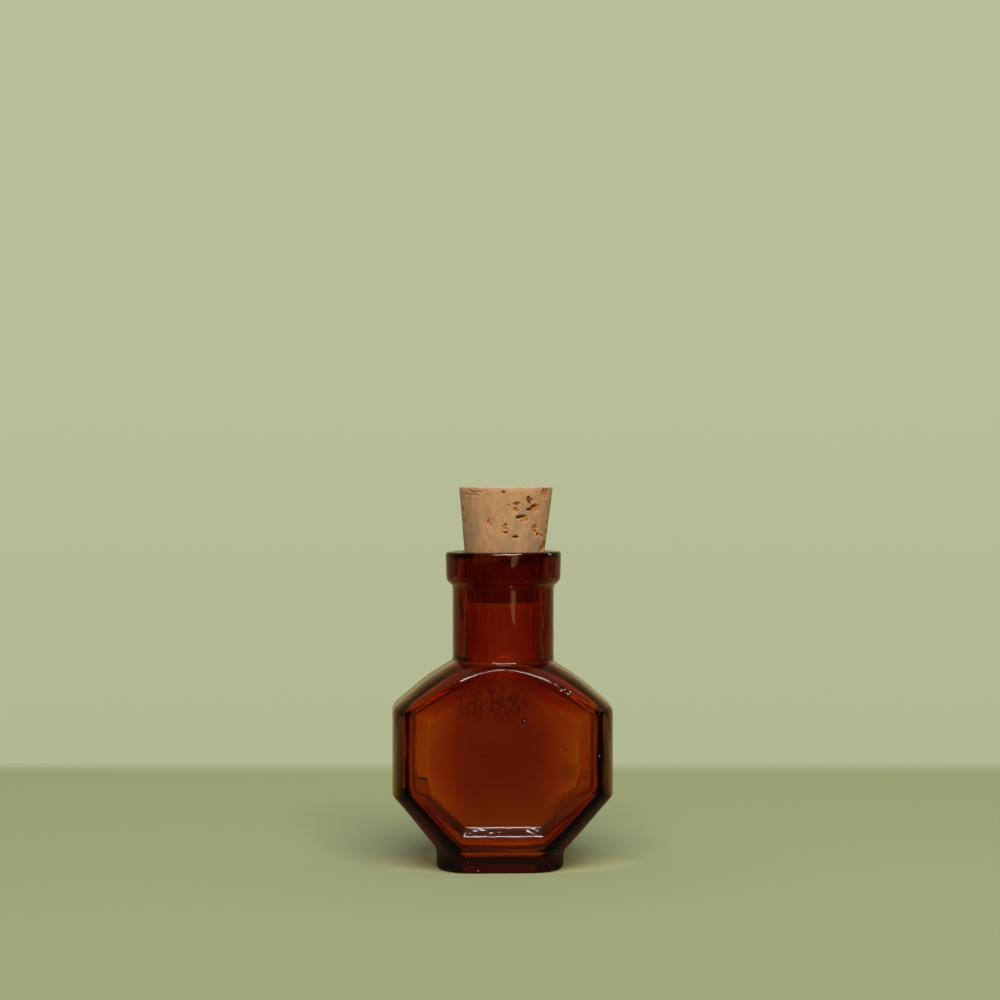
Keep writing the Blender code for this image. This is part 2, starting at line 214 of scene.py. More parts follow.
# The cork
CORK_TOP_RADIUS = 9.62 * MM
CORK_BOTTOM_RADIUS = 7.18 * MM
CORK_LENGTH = CORK_HIGH[2] - CORK_LOW[2]
CORK_GAP = 0.3 * MM
CORK_LEAN_SHARE = 0.0245
CORK_TOP_SOFTNESS = 0.3 * MM
CORK_BOTTOM_SOFTNESS = 0.8 * MM
CORK_GRAIN = 0.02 * MM
CORK_LUMPS = 0.03 * MM
CORK_LIFT = 1.4
CORK_SKIN = 1.0 * MM
CORK_SWELL = 0.05 * MM
PORE_SOFTNESS = 0.1 * MM
PORE_GROWTH = 1.3
PORE_ROUGHNESS = 0.06 * MM
# Pores on the side that the photograph shows: angle from the front in degrees, height,
# half width, half height and depth, all in millimetres
PORES = (
    (-5, 76.2, 0.34, 0.3, 0.5), (2, 73.6, 0.2, 0.2, 0.35), (12, 73.9, 0.58, 0.3, 0.5),
    (11, 72.7, 0.49, 0.44, 0.3), (27, 74.9, 0.3, 0.52, 0.6), (30, 74.3, 0.31, 0.64, 0.6),
    (32, 74.6, 0.31, 0.3, 0.45), (31, 72.8, 0.67, 0.3, 0.7), (37, 73.4, 0.77, 0.34, 0.6),
    (40, 72.8, 0.86, 0.68, 0.28), (16, 71.2, 0.52, 0.36, 0.7), (21, 71.4, 0.76, 0.26, 0.55),
    (24, 70.6, 0.67, 0.48, 0.3), (-23, 70.0, 0.64, 0.6, 0.2), (-25, 70.3, 0.28, 0.3, 0.35),
    (-2, 69.6, 0.26, 0.28, 0.4), (-2, 69.0, 0.4, 0.32, 0.35), (-1, 68.2, 0.38, 0.24, 0.45),
    (-1, 68.9, 0.52, 1.0, 0.15), (13, 67.3, 0.46, 0.26, 0.6), (42, 68.7, 0.61, 0.84, 0.28),
    (39, 69.2, 0.29, 0.4, 0.45), (44, 68.3, 0.34, 0.3, 0.45), (49, 67.7, 0.48, 0.3, 0.55),
    (59, 67.4, 0.49, 0.28, 0.5), (73, 69.9, 0.69, 0.44, 0.4), (78, 68.0, 0.8, 0.48, 0.6),
    (55, 75.8, 1.4, 1.12, 0.25), (51, 76.5, 0.53, 0.36, 0.55), (76, 65.3, 1.3, 0.8, 0.4),
    (66, 64.9, 0.9, 0.5, 0.4), (61, 64.5, 0.5, 0.4, 0.5), (-75, 72.7, 0.69, 0.5, 0.35),
    (-73, 70.4, 0.69, 0.3, 0.35), (-51, 76.4, 1.21, 0.2, 0.15), (-40, 76.2, 1.02, 0.24, 0.2),
    (-46, 75.7, 1.38, 0.2, 0.2), (-59, 75.8, 0.74, 0.2, 0.2), (-31, 76.5, 0.69, 0.16, 0.15),
)
# Pores drawn at random on the other side and on top: how many, between which angles and
# shares of the height, over which share of the top, and the least and greatest half sizes
PORE_SEED = 11
UNSEEN_PORES = 46
UNSEEN_ANGLES = (95, 270)
UNSEEN_HEIGHTS = (0.08, 0.97)
UNSEEN_SIZES = ((0.2, 0.2, 0.25), (0.9, 0.65, 0.7))
TOP_PORES = 16
TOP_SHARE = 0.85
TOP_SIZES = ((0.2, 0.2, 0.3), (0.9, 0.4, 0.6))

# Nets: the size of their cells and how many lie before and beyond the box, how often and
# how far the points move to settle, and the share of the triangles that is kept
GLASS_CELL = 0.26 * MM
CORK_CELL = 0.125 * MM
NET_MARGINS = (2, 3)
SETTLE_ROUNDS = 4
LEAST_SLOPE = 0.05
LAST_MOVE_SHARE = 0.25
GRADIENT_REACH = 0.02 * MM
GLASS_KEPT = 0.375
CORK_KEPT = 0.45

# Marks that the materials read from the meshes: how deep a pore is where its mark is full,
# and how far from the hollow's wall the glass's marks have faded out
GLASS_MARKS = ("haze", "stain", "film")
PIT_REACH = 1.0 * MM
INSIDE_REACH = 0.4 * MM
# Haze on the hollow's wall: its share at the sides, where it ends across and at the floor
HAZE_EDGE = 0.1
HAZE_ACROSS = (6.0 * MM, 14.5 * MM)
HAZE_FLOOR = (4.0 * MM, 8.0 * MM)
HAZE_NECK = (38.0 * MM, 43.0 * MM)
HAZE_IN_NECK = 0.5
HAZE_SIDE = 0.8
HAZE_SIDE_DEPTH = (7.2 * MM, 8.8 * MM)
# Dried residue under the shoulders, across and up
STAIN_MIDDLE = (-1.5 * MM, 34.2 * MM)
STAIN_REACH = (12.0 * MM, 4.8 * MM)
STAIN_FADE = (0.35, 1.0)
# Reddish film in the neck: its angles from the front, in degrees, and its strength
FILM_ARCS = ((-52, -19, 1.0), (-160, -112, 0.6), (-19, 20, 0.5), (30, 62, 0.7), (100, 150, 0.3))
FILM_EDGE = 4.0
FILM_HEIGHT = (39.0 * MM, 43.0 * MM)


# Fields


def smooth_max(a, b, softness):
    """The greater of two values, with a soft change from one to the other."""
    overlap = np.maximum(softness - np.abs(a - b), 0) / softness
    return np.maximum(a, b) + overlap * overlap * softness / 4


def smooth_min(a, b, softness):
    return -smooth_max(-a, -b, softness)


def step(value, low, high):
    """0 below the low value, 1 above the high one, smooth between."""
    share = np.clip((value - low) / (high - low), 0, 1)
    return share * share * (3 - 2 * share)


class Waves:
    """A fixed set of sine waves that add up to a smooth random swell."""

    def __init__(self, seed, count, shortest, longest, stretch=(1.0, 1.0, 1.0)):
        draw = np.random.default_rng(seed)
        aims = draw.normal(size=(count, 3))
        aims /= np.linalg.norm(aims, axis=1)[:, None]
        lengths = draw.uniform(shortest, longest, count)
        self.turns = aims * (2 * math.pi / lengths)[:, None] / np.array(stretch)
        self.starts = draw.uniform(0, 2 * math.pi, count)

    def at(self, x, y, z):
        total = 0.0
        for (a, b, c), start in zip(self.turns, self.starts):
            total = total + np.sin(a * x + b * y + c * z + start)
        return total / math.sqrt(len(self.starts))


# Each by its seed, how many waves, the shortest and the longest, and their stretch
GLASS_WAVES = Waves(3, 7, 2.5 * MM, 6.0 * MM)
HOLLOW_WAVES = Waves(5, 7, 7.0 * MM, 15.0 * MM)
SILL_WAVES = Waves(8, 9, 0.7 * MM, 1.5 * MM)
CHIP_WAVES = Waves(9, 8, 0.35 * MM, 0.9 * MM)
CORK_WAVES = Waves(12, 9, 1.2 * MM, 4.0 * MM, (1.0, 1.0, 3.5))
LUMP_WAVES = Waves(13, 8, 2.5 * MM, 8.0 * MM)


def girth_corners():
    """The body's widest half outline, as corners (x, z) from the foot up."""
    lean = (BODY_WIDTH - FOOT_WIDTH) / 2 / LOWER_SLOPE_HEIGHT
    side = BODY_WIDTH / 2
    lower = FOOT_HEIGHT + LOWER_SLOPE_HEIGHT
    upper = lower + SIDE_HEIGHT
    run = side - (NECK_RADIUS - SHOULDER_TUCK)
    return [
        (FOOT_WIDTH / 2 - BODY_LAP * lean, FOOT_HEIGHT - BODY_LAP),
        (side, lower),
        (side, upper),
        (side - run * SHOULDER_RUN_SHARE, upper + SHOULDER_HEIGHT * SHOULDER_RISE_SHARE),
        (side - run, upper + SHOULDER_HEIGHT),
    ]


def inset_corners(corners, widths, top_share):
    """The corners of an outline drawn inside another, one width for each edge."""
    points = [np.array(corner) for corner in corners]
    sill = np.array((0.0, points[0][1]))
    lines = []
    for start, end, width in zip([sill] + points, points, widths):
        at_start, at_end = width if isinstance(width, tuple) else (width, width)
        along = (end - start) / np.linalg.norm(end - start)
        inward = np.array((-along[1], along[0]))
        lines.append((start + inward * at_start, end + inward * at_end))
    top_end = points[-1] * np.array((top_share, 1.0))
    lines.append((top_end, top_end + (points[-1] - sill) * np.array((0.0, 1.0))))
    return [tuple(crossing(first, second)) for first, second in zip(lines, lines[1:])]


def crossing(first, second):
    """Where two lines meet, each given by two points."""
    (a, b), (c, d) = first, second
    share, _ = np.linalg.solve(np.array((b - a, c - d)).T, c - a)
    return a + (b - a) * share


def edges_of(corners):
    """Each edge of a half outline as a point on it and its outward normal."""
    points = [np.array(corner) for corner in corners]
    chain = [np.array((0.0, points[0][1]))] + points + [np.array((0.0, points[-1][1]))]
    edges = []
    for start, end in zip(chain, chain[1:]):
        along = (end - start) / np.linalg.norm(end - start)
        edges.append((start, (along[1], -along[0])))
    return edges


def beyond(edge, x, z):
    """How far a point lies outside an edge."""
    (start_x, start_z), (normal_x, normal_z) = edge
    return (x - start_x) * normal_x + (z - start_z) * normal_z


GIRTH = girth_corners()
FACE = inset_corners(GIRTH, FACE_INSETS, FACE_TOP_SHARE)
RIM = inset_corners(FACE, RIM_INSETS, RIM_TOP_SHARE)
FLOOR = inset_corners(RIM, FLOOR_INSETS, FLOOR_TOP_SHARE)
SHOULDER_TOP = GIRTH[-1][1]
HOLLOW_WALLS = (BASE_THICKNESS - (FOOT_HEIGHT - BODY_LAP),) + (SIDE_WALL,) * 4
HOLLOW_GIRTH = inset_corners(GIRTH, HOLLOW_WALLS, HOLLOW_TOP_SHARE)
HOLLOW_FACE = inset_corners(FACE, HOLLOW_FACE_INSETS, HOLLOW_TOP_SHARE)


def above_arch(x, z):
    """How far a point lies above the arch over the face."""
    across = np.hypot(x, ARCH_TIP) / MM
    height = ARCH_TOP - ARCH_FALL * across**ARCH_POWER
    slope = ARCH_FALL / MM * ARCH_POWER * across ** (ARCH_POWER - 2) * x / MM
    return (z - height) / np.sqrt(1 + slope * slope)


def drawn_in(outer, inner, x, z, draw, softness, arch_inset=0.0):
    """Inside an outline that draws in from one set of edges to another, and to the arch."""
    value = None
    share = np.minimum(draw, 1.0)
    sides = len(outer) - 2
    for first, second, (wide, narrow) in zip(edges_of(outer)[:sides], edges_of(inner), softness):
        edge = beyond(first, x, z) * (1 - draw) + beyond(second, x, z) * draw
        soft = wide * (1 - share) + narrow * share
        value = edge if value is None else smooth_max(value, edge, soft)
    roof = None
    for first, (wide, narrow) in zip(edges_of(outer)[sides:], softness[sides:]):
        edge = beyond(first, x, z)
        roof = edge if roof is None else smooth_max(roof, edge, wide)
    wide, narrow = softness[sides]
    roof = roof * (1 - draw) + (above_arch(x, z) + arch_inset) * draw
    return smooth_max(value, roof, wide * (1 - share) + narrow * share)


def recess(x, z):
    """How deep the panel is sunk at a place on the face."""
    inside = -above_arch(x, z) - ARCH_RIM
    cut = smooth_min(np.full_like(x, PANEL_DEPTH), PANEL_DEPTH * inside / ARCH_BEVEL, ARCH_SOFTNESS)
    sides = len(RIM) - 2
    for rim, floor, softness in zip(edges_of(RIM)[:sides], edges_of(FLOOR), BEVEL_SOFTNESS):
        inside = -beyond(rim, x, z)
        width = np.maximum(inside + beyond(floor, x, z), LEAST_BEVEL)
        cut = smooth_min(cut, PANEL_DEPTH * inside / width, softness)
    return smooth_max(cut, np.zeros_like(cut), RIM_SOFTNESS)


def body_form(x, y, z):
    """The flat-sided body, with its borders and its panels."""
    depth = BODY_DEPTH / 2
    x, y = np.abs(x), np.abs(y)
    softness = [(0.0, 0.0)] + list(zip(GIRTH_SOFTNESS, FACE_CORNER_SOFTNESS))
    flank = drawn_in(GIRTH, FACE, x, z, (y / depth) ** DRAW_POWER, softness)
    return smooth_max(flank, y - depth + recess(x, z), FACE_SOFTNESS)


def rounded_rectangle(x, y, width, depth, radius):
    """How far a point lies outside a rectangle with round corners."""
    over_x = np.abs(x) - width / 2 + radius
    over_y = np.abs(y) - depth / 2 + radius
    outside = np.hypot(np.maximum(over_x, 0), np.maximum(over_y, 0))
    return outside + np.minimum(np.maximum(over_x, over_y), 0) - radius


def foot_form(x, y, z):
    """The foot, with the push-up under it."""
    side = rounded_rectangle(x, y, FOOT_WIDTH, FOOT_DEPTH, FOOT_CORNER_RADIUS)
    share = np.clip((-BEARING_RING_INSET - side) / PUSH_UP_ROUNDING, 0, 1)
    push_up = PUSH_UP_DEPTH * share * share * (3 - 2 * share)
    block = smooth_max(side, z - FOOT_HEIGHT - BODY_LAP, FOOT_EDGE_SOFTNESS)
    return smooth_max(block, push_up - z, FOOT_EDGE_SOFTNESS)


def neck_form(radius, z):
    """The outside of the neck and the lip."""
    lip_side = radius - LIP_RADIUS + (BOTTLE_HEIGHT - z) * LIP_DRAFT_SHARE
    dished = z - BOTTLE_HEIGHT + LIP_DISH_SHARE * (LIP_RADIUS - radius)
    lip = smooth_max(lip_side, dished, LIP_TOP_SOFTNESS)
    lip = smooth_max(lip, BOTTLE_HEIGHT - LIP_HEIGHT - z, LIP_UNDER_SOFTNESS)
    neck = np.maximum(radius - NECK_RADIUS, z - BOTTLE_HEIGHT + LIP_HEIGHT / 2)
    neck = np.maximum(neck, GIRTH[-2][1] - z)
    return smooth_min(neck, lip, LIP_BLEND)


def taper_radius(z):
    """The cork's radius at a height."""
    share = (z - CORK_LOW[2]) / CORK_LENGTH
    return CORK_BOTTOM_RADIUS + (CORK_TOP_RADIUS - CORK_BOTTOM_RADIUS) * share


def hollow_form(x, y, z, radius):
    """The space inside: the chamber, the bore and the cork's seat."""
    x, y = np.abs(x), np.abs(y)
    softness = ((HOLLOW_CORNER_SOFTNESS,) * 2,) * (len(HOLLOW_GIRTH) + 1)
    depth = BODY_DEPTH / 2 - PANEL_DEPTH - PANEL_WALL
    across = x / HOLLOW_SWELL_HALF_WIDTH
    up = np.maximum(z - HOLLOW_MIDDLE_HEIGHT, 0) / HOLLOW_SWELL_HALF_HEIGHT
    down = np.maximum(HOLLOW_MIDDLE_HEIGHT - z, 0) / HOLLOW_SWELL_FOOT_REACH
    rise = across**HOLLOW_SWELL_POWER + up * up + down**HOLLOW_SWELL_POWER
    swell = HOLLOW_SWELL * np.minimum(rise, 1.0)
    swell = swell * step(z, *HOLLOW_SWELL_START)
    draw = (y / HOLLOW_FACE_DEPTH) ** HOLLOW_DRAW_POWER
    chamber = drawn_in(HOLLOW_GIRTH, HOLLOW_FACE, x, z, draw, softness, HOLLOW_ARCH_INSET)
    low, high = HOLLOW_EDGE_SOFTNESS
    edge_softness = low + (high - low) * step(z, *HOLLOW_SOFTER_FROM)
    chamber = smooth_max(chamber, y - depth - swell, edge_softness)
    way = radius - np.maximum(BORE_RADIUS, taper_radius(z) + CORK_GAP)
    way = np.maximum(way, SHOULDER_TOP - SIDE_WALL * 2 - z)
    return smooth_min(chamber, way, HOLLOW_NECK_BLEND)


def plain_glass(x, y, z):
    """The bottle as drawn, without the mould's and the years' marks."""
    radius = np.hypot(x, y)
    outside = smooth_min(body_form(x, y, z), neck_form(radius, z), NECK_FILLET)
    outside = smooth_min(outside, foot_form(x, y, z), FOOT_FILLET)
    return smooth_max(outside, -hollow_form(x, y, z, radius), MOUTH_SOFTNESS)


def close_to(middle, reach, x, y, z):
    """Which points lie in a cube round a middle."""
    near = np.abs(x - middle[0]) < reach
    return near & (np.abs(y - middle[1]) < reach) & (np.abs(z - middle[2]) < reach)


def bump(value, half_width):
    """1 in the middle and 0 from a half width away."""
    share = np.clip(np.abs(value) / half_width, 0, 1)
    return (1 - share * share) ** 2


def drift_at(z):
    """How far the foot and the lower body stand to the left, at a height."""
    return FOOT_DRIFT * (1 - np.clip(z / FOOT_DRIFT_HEIGHT, 0, 1)) ** 2


def glass_field(x, y, z):
    """The bottle as it is: out of line, with a slanting lip, ripples, seams and chips."""
    drift = drift_at(z)
    radius = np.hypot(x - NECK_DRIFT, y)
    foot = foot_form(x + FOOT_DRIFT, y, z)
    slant = LIP_SLANT * np.clip((LIP_RADIUS - x) / (2 * LIP_RADIUS), 0, 1) - LIP_RISE
    raised = z + slant * np.clip((z - BOTTLE_HEIGHT + LIP_HEIGHT) / LIP_HEIGHT, 0, 1)
    outside = smooth_min(body_form(x + drift, y, z), neck_form(radius, raised), NECK_FILLET)
    outside = smooth_min(outside, foot, FOOT_FILLET)
    low = np.clip(z / FOOT_HEIGHT, 0, 1)
    inset = SURFACE_RIPPLE * (GLASS_WAVES.at(x, y, z) + SURFACE_LIFT) * low
    middle, half_height, half_width = SILL_BEVEL
    sill = bump(z - middle, half_height) * (np.abs(x) < half_width) * (np.abs(y) > BODY_DEPTH / 4)
    inset = inset + SILL_RIPPLE * (SILL_WAVES.at(x, y, z) + SILL_LIFT) * sill
    sunk = np.clip((np.abs(x) - SEAM_SUNK_FROM) / (SEAM_SUNK_AT - SEAM_SUNK_FROM), 0, 1)
    seam = bump(y, SEAM_HALF_WIDTH) * (z < SEAM_TOP) * (z > FOOT_HEIGHT)
    outside = outside + inset - SEAM_HEIGHT * (seam - sunk)
    for across, depth, height, size in CHIPS:
        middle = (across, depth, height)
        near = close_to(middle, CHIP_REACH * size, x, y, z)
        a, b, c = x[near], y[near], z[near]
        gap = np.sqrt((a - across) ** 2 + (b - depth) ** 2 + (c - height) ** 2)
        bite = size - gap + CHIP_ROUGHNESS * CHIP_WAVES.at(a, b, c)
        outside[near] = np.maximum(outside[near], bite)
    angle = np.arctan2(y, x)
    ribs = sum(height * np.sin(count * angle + start) for count, height, start in BORE_RIBS)
    inside = hollow_form(x + drift, y, z, radius) + HOLLOW_RIPPLE * HOLLOW_WAVES.at(x, y, z)
    inside = inside + ribs * np.clip((z - SHOULDER_TOP) / SHOULDER_HEIGHT, 0, 1)
    return smooth_max(outside, -inside, MOUTH_SOFTNESS)


def glass_marks(points):
    """How hazy, how stained and how redly filmed each point of the hollow's wall is."""
    x, y, z = points.T
    off = np.abs(hollow_form(x + drift_at(z), y, z, np.hypot(x - NECK_DRIFT, y)))
    inside = 1 - np.clip(off / INSIDE_REACH, 0, 1)
    haze = HAZE_EDGE + (1 - HAZE_EDGE) * (1 - step(np.abs(x), *HAZE_ACROSS))
    side = HAZE_SIDE * (1 - step(np.abs(y), *HAZE_SIDE_DEPTH))
    haze = np.maximum(haze * step(z, *HAZE_FLOOR), side)
    in_neck = step(z, *HAZE_NECK)
    haze = haze * (1 - in_neck) + HAZE_IN_NECK * in_neck
    across, up = x - STAIN_MIDDLE[0], z - STAIN_MIDDLE[1]
    stain = 1 - step(np.hypot(across / STAIN_REACH[0], up / STAIN_REACH[1]), *STAIN_FADE)
    stain = stain * (y < 0)
    turn = np.degrees(np.arctan2(x, -y))
    film = 0.0
    for low, high, strength in FILM_ARCS:
        rise = step(turn, low, low + FILM_EDGE)
        film = film + strength * rise * step(-turn, -high, FILM_EDGE - high)
    film = film * step(z, *FILM_HEIGHT)
    return inside * haze, inside * stain, inside * film


def plain_cork(x, y, z):
    """The cork as cut: a taper that leans a little."""
    radius = np.hypot(x - NECK_DRIFT - CORK_LEAN_SHARE * (z - CORK_LOW[2]), y)
    body = smooth_max(radius - taper_radius(z), z - CORK_HIGH[2], CORK_TOP_SOFTNESS)
    return smooth_max(body, CORK_LOW[2] - z, CORK_BOTTOM_SOFTNESS)


def cork_middle(height):
    """How far the cork's middle stands to the right, at a height."""
    return NECK_DRIFT + CORK_LEAN_SHARE * (height - CORK_LOW[2])


def pores():
    """Every pore as its middle, three axes and the half size along each of them."""
    draw = np.random.default_rng(PORE_SEED)
    grown = PORE_GROWTH * MM
    sides = [(math.radians(a), z * MM, w * grown, h * grown, d * MM) for a, z, w, h, d in PORES]
    for _ in range(UNSEEN_PORES):
        angle = math.radians(draw.uniform(*UNSEEN_ANGLES))
        height = CORK_LOW[2] + CORK_LENGTH * draw.uniform(*UNSEEN_HEIGHTS)
        wide, tall, deep = draw.uniform(*UNSEEN_SIZES) * MM
        sides.append((angle, height, wide, tall, deep))
    found = []
    for angle, height, wide, tall, deep in sides:
        outward = np.array((math.sin(angle), -math.cos(angle), 0.0))
        middle = outward * taper_radius(height) + np.array((cork_middle(height), 0, height))
        across = np.array((math.cos(angle), math.sin(angle), 0.0))
        found.append((middle, (across, np.array((0.0, 0.0, 1.0)), outward), (wide, tall, deep)))
    for _ in range(TOP_PORES):
        angle = draw.uniform(0, 2 * math.pi)
        reach = CORK_TOP_RADIUS * math.sqrt(draw.uniform(0, TOP_SHARE))
        middle = np.array((reach * math.cos(angle), reach * math.sin(angle), CORK_HIGH[2]))
        middle[0] += cork_middle(CORK_HIGH[2])
        sizes = draw.uniform(*TOP_SIZES) * MM
        found.append((middle, tuple(np.eye(3)), tuple(sizes)))
    return found


ALL_PORES = pores()


def cork_field(x, y, z):
    """The cork as it is, with grain, lumps and pores."""
    body = plain_cork(x, y, z)
    skin = np.abs(body) < CORK_SKIN
    at = x[skin], y[skin], z[skin]
    grain = CORK_GRAIN * (CORK_WAVES.at(*at) + CORK_LIFT)
    body[skin] += grain + CORK_LUMPS * (LUMP_WAVES.at(*at) + CORK_LIFT)
    body = np.maximum(body - CORK_SWELL, z - CORK_HIGH[2])
    for middle, axes, sizes in ALL_PORES:
        near = close_to(middle, PORE_REACH * max(sizes), x, y, z)
        offset = (x[near] - middle[0], y[near] - middle[1], z[near] - middle[2])
        shares = [
            sum(length * part for length, part in zip(offset, axis)) / size
            for axis, size in zip(axes, sizes)
        ]
        inside = (1 - np.sqrt(sum(share * share for share in shares))) * min(sizes)
        inside = inside + PORE_ROUGHNESS * CHIP_WAVES.at(x[near], y[near], z[near])
        body[near] = smooth_max(body[near], inside, PORE_SOFTNESS)
    return body


# Nets


def surface_net(field, low, high, cell):
    """Points and faces of a net of quads over the zero surface of a field."""
    before, after = (margin * cell for margin in NET_MARGINS)
    axes = [np.arange(a - before, b + after, cell, np.float32) for a, b in zip(low, high)]
    values = field(*np.meshgrid(*axes, indexing="ij"))
    inside = values < 0
    corners = [np.array((i, j, k)) for i in (0, 1) for j in (0, 1) for k in (0, 1)]
    shape = np.array(inside.shape) - 1
    count = np.zeros(shape, np.int8)
    for corner in corners:
        count += inside[tuple(slice(c, c + n) for c, n in zip(corner, shape))]
    cells = np.argwhere((count > 0) & (count < 8))
    index = np.full(shape, -1, np.int32)
    index[tuple(cells.T)] = np.arange(len(cells))
    total = np.zeros((len(cells), 3))
    number = np.zeros(len(cells))
    for first in corners:
        for axis in range(3):
            if first[axis]:
                continue
            second = first + np.eye(3, dtype=int)[axis]
            a = values[tuple((cells + first).T)].astype(float)
            b = values[tuple((cells + second).T)].astype(float)
            cut = (a < 0) != (b < 0)
            share = np.where(cut, a / np.where(cut, a - b, 1), 0)
            total[cut] += (cells + first + (second - first) * share[:, None])[cut]
            number += cut
    origin = np.array([axis[0] for axis in axes], float)
    points = origin + cell * total / number[:, None]
    quads = []
    for axis in range(3):
        here = [slice(None)] * 3
        there = [slice(None)] * 3
        here[axis], there[axis] = slice(None, -1), slice(1, None)
        starts = np.argwhere(inside[tuple(here)] != inside[tuple(there)])
        side_u = np.eye(3, dtype=int)[(axis + 1) % 3]
        side_v = np.eye(3, dtype=int)[(axis + 2) % 3]
        ring = [starts, starts - side_u, starts - side_u - side_v, starts - side_v]
        quad = np.stack([index[tuple(around.T)] for around in ring], axis=1)
        outward = inside[tuple(starts.T)]
        quads.append(np.where(outward[:, None], quad, quad[:, ::-1]))
    return points, np.concatenate(quads)


def gradient(field, points):
    """The field's slope at each point."""
    slopes = []
    for axis in np.eye(3) * GRADIENT_REACH:
        ahead, behind = (points + axis).T, (points - axis).T
        slopes.append((field(*ahead) - field(*behind)) / (2 * GRADIENT_REACH))
    return np.stack(slopes, axis=1)


def settled(field, points, longest):
    """The points moved onto the zero surface, in moves of at most a longest length."""
    for _ in range(SETTLE_ROUNDS):
        slope = gradient(field, points)
        value = field(*points.T)[:, None]
        steepness = np.maximum((slope * slope).sum(axis=1, keepdims=True), LEAST_SLOPE)
        move = value * slope / steepness
        length = np.linalg.norm(move, axis=1, keepdims=True)
        points = points - move * (longest / np.maximum(length, longest))
    return points


def mesh_of(name, points, faces):
    """A mesh of faces that all have the same number of corners."""
    mesh = bpy.data.meshes.new(name)
    mesh.vertices.add(len(points))
    mesh.vertices.foreach_set("co", points.astype(np.float32).ravel())
    size = faces.shape[1]
    mesh.loops.add(faces.size)
    mesh.loops.foreach_set("vertex_index", faces.astype(np.int32).ravel())
    mesh.polygons.add(len(faces))
    mesh.polygons.foreach_set("loop_start", np.arange(0, faces.size, size, dtype=np.int32))
    mesh.update(calc_edges=True)
    mesh.validate()
    return mesh


def bubble_shells():
    """Points, triangles and normals of every bubble, which face the bubble's middle."""
    ball = bmesh.new()
    bmesh.ops.create_icosphere(ball, subdivisions=BUBBLE_SUBDIVISIONS, radius=1.0)
    unit = np.array([vertex.co[:] for vertex in ball.verts])
    corners = np.array([[vertex.index for vertex in face.verts] for face in ball.faces])
    ball.free()
    points, faces = [], []
    for number, (across, depth, height, size) in enumerate(BUBBLES):
        points.append(unit * (size, size, size * BUBBLE_STRETCH) + (across, depth, height))
        faces.append(corners[:, ::-1] + number * len(unit))
    return np.concatenate(points), np.concatenate(faces), np.tile(-unit, (len(BUBBLES), 1))


def piece_of(name, first_field, field, low, high, cell, keep_share, shells=None):
    """An object whose mesh is a field's zero surface, thinned out where it is flat.

    The net is laid on the first field and then settles on the other, close one.
    """
    points, faces = surface_net(first_field, low, high, cell)
    points = settled(field, points, cell)
    obj = bpy.data.objects.new(name, mesh_of(name, points, faces))
    bpy.context.scene.collection.objects.link(obj)
    thin = obj.modifiers.new("thin", "DECIMATE")
    thin.ratio = keep_share
    graph = bpy.context.evaluated_depsgraph_get()
    thinned = bpy.data.meshes.new_from_object(obj.evaluated_get(graph))
    obj.modifiers.clear()
    thinned.calc_loop_triangles()
    points = np.empty(len(thinned.vertices) * 3, np.float32)
    thinned.vertices.foreach_get("co", points)
    faces = np.empty(len(thinned.loop_triangles) * 3, np.int32)
    thinned.loop_triangles.foreach_get("vertices", faces)
    points = settled(field, points.reshape(-1, 3).astype(float), cell * LAST_MOVE_SHARE)
    faces = faces.reshape(-1, 3)
    normals = gradient(field, points)
    normals /= np.linalg.norm(normals, axis=1, keepdims=True)
    if shells:
        faces = np.concatenate([faces, shells[1] + len(points)])
        points = np.concatenate([points, shells[0]])
        normals = np.concatenate([normals, shells[2]])
    obj.data = mesh_of(name, points, faces)
    obj.data.shade_smooth()
    obj.data.normals_split_custom_set_from_vertices(normals)
    return obj, points


def paint(obj, name, values):
    """Stores one number for each of a mesh's points, for its material."""
    layer = obj.data.attributes.new(name, "FLOAT", "POINT")
    layer.data.foreach_set("value", values.astype(np.float32))


# Materials

WHITE = (1.0, 1.0, 1.0)
BLACK = (0.0, 0.0, 0.0)
RANGE_SOCKETS = ("From Min", "From Max", "To Min", "To Max")
# Noise: its scale, its detail, and how it is stretched upright and shifted
NOISE_ROUGHNESS = 0.6
STREAK_NOISE = (1500, 3, 0.06)
CLUMP_NOISE = (240, 2, 0.8, 0.05)
WISP_NOISE = (1500, 4, 0.6, 0.02)
GRAIN_NOISE = (800, 4, 0.6)
BLOTCH_NOISE = (170, 3, 0.8, 0.013)
SPECKLE_NOISE = (2600, 2)
FINE_NOISE = (5200, 3, 0.5)

# Glass: how much red, green and blue it absorbs in a metre, the marks on the hollow's
# wall, and for each range its low and high value and the share at each
GLASS_IOR = 1.5
ABSORBED = (180.0, 670.0, 2600.0)
STREAK_RANGE = (0.38, 0.6, 0.1, 1.0)
CLUMP_RANGE = (0.36, 0.5)
WISP_RANGE = (0.42, 0.54)
HAZE_RANGE = (0.2, 1.0, 0.0, 0.8)
HAZE_COLOUR = (0.78, 0.76, 0.74)
HAZE_ROUGHNESS = 0.5
FILM_COLOUR = (0.56, 0.14, 0.1)
STAIN_COLOUR = (0.16, 0.03, 0.03)

# Cork: its two tans, and what lies over them as a range of the noise and a colour
CORK_TANS = ((0.4, 0.208, 0.092), (0.52, 0.285, 0.128))
GRAIN_RANGE = (0.3, 0.7)
BLOTCHES = ((0.46, 0.68, 0.0, 0.7), (0.27, 0.185, 0.115))
FINE_GRAIN = ((0.4, 0.62, 0.0, 0.3), (0.3, 0.17, 0.085))
SPECKLES = ((0.58, 0.72, 0.0, 0.4), (0.22, 0.11, 0.05))
# The pores: their own brown on the walls, and darker towards the floor, partly their dark lining and
# partly painted shade in the depth
PIT_WALL = ((0.08, 0.2), (0.42, 0.16, 0.045))
PIT_FLOOR_BROWN_AND_SHADE = ((0.28, 0.6), (0.13, 0.05, 0.02))
